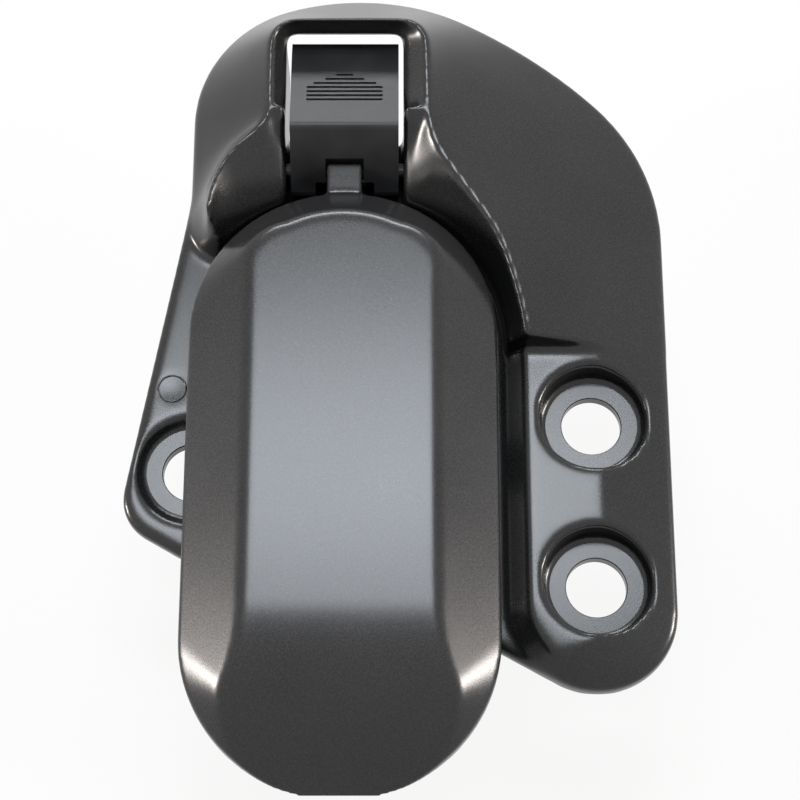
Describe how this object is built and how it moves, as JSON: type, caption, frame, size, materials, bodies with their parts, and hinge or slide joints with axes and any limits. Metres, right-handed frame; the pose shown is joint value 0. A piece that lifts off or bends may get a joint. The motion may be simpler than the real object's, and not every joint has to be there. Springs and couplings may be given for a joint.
{
  "type": "convertible top latch",
  "caption": "Folding-roof latch: a cast base with screw seats carries a long pull handle with a hidden draw hook, held shut by a sprung release button.",
  "frame": {"origin": "on the mounting face, under the centre of the handle's round inner end", "axes": "+Z out of the mounting face towards the user; +Y from the handle's pivot to the release button, along the handle; +X across, towards the wing with two screws"},
  "size_m": [0.0778, 0.1235, 0.0179],
  "materials": {
    "dark_paint": "satin",
    "handle_paint": "satin",
    "button_plastic": "matte",
    "steel": "zinc plated",
    "spring_steel": "drawn wire",
    "nylon": "matte",
    "rubber": "matte"
  },
  "bodies": {
    "base": {"base_casting": "dark_paint", "button_pin": "steel", "button_spring": "spring_steel", "pivot_pin_left": "steel", "pivot_pin_right": "steel", "pivot_washer_left": "nylon", "pivot_washer_right": "nylon", "bump_stop": "rubber"},
    "handle": {"handle_shell": "handle_paint"},
    "button": {"release_button": "button_plastic"},
    "hook": {"hook": "steel", "hook_trunnion": "steel", "hook_nut_front": "steel", "hook_nut_rear": "steel"}
  },
  "joints": [
    {"name": "handle_pivot", "type": "hinge", "parent": "base", "child": "handle", "pos_m": [0, -0.0525, 0.006], "axis": [1, 0, 0], "range_deg": [0, 100]},
    {"name": "hook_swing", "type": "hinge", "parent": "handle", "child": "hook", "pos_m": [0, -0.045, 0.005], "axis": [-1, 0, 0], "range_deg": [0, 5]},
    {"name": "button_press", "type": "hinge", "parent": "base", "child": "button", "pos_m": [0, 0.0275, 0.0056], "axis": [-1, 0, 0], "range_deg": [0, 12], "stiffness_Nm_per_rad": 0.35, "springref_deg": -6.88, "deforming": ["button_spring"]}
  ]
}
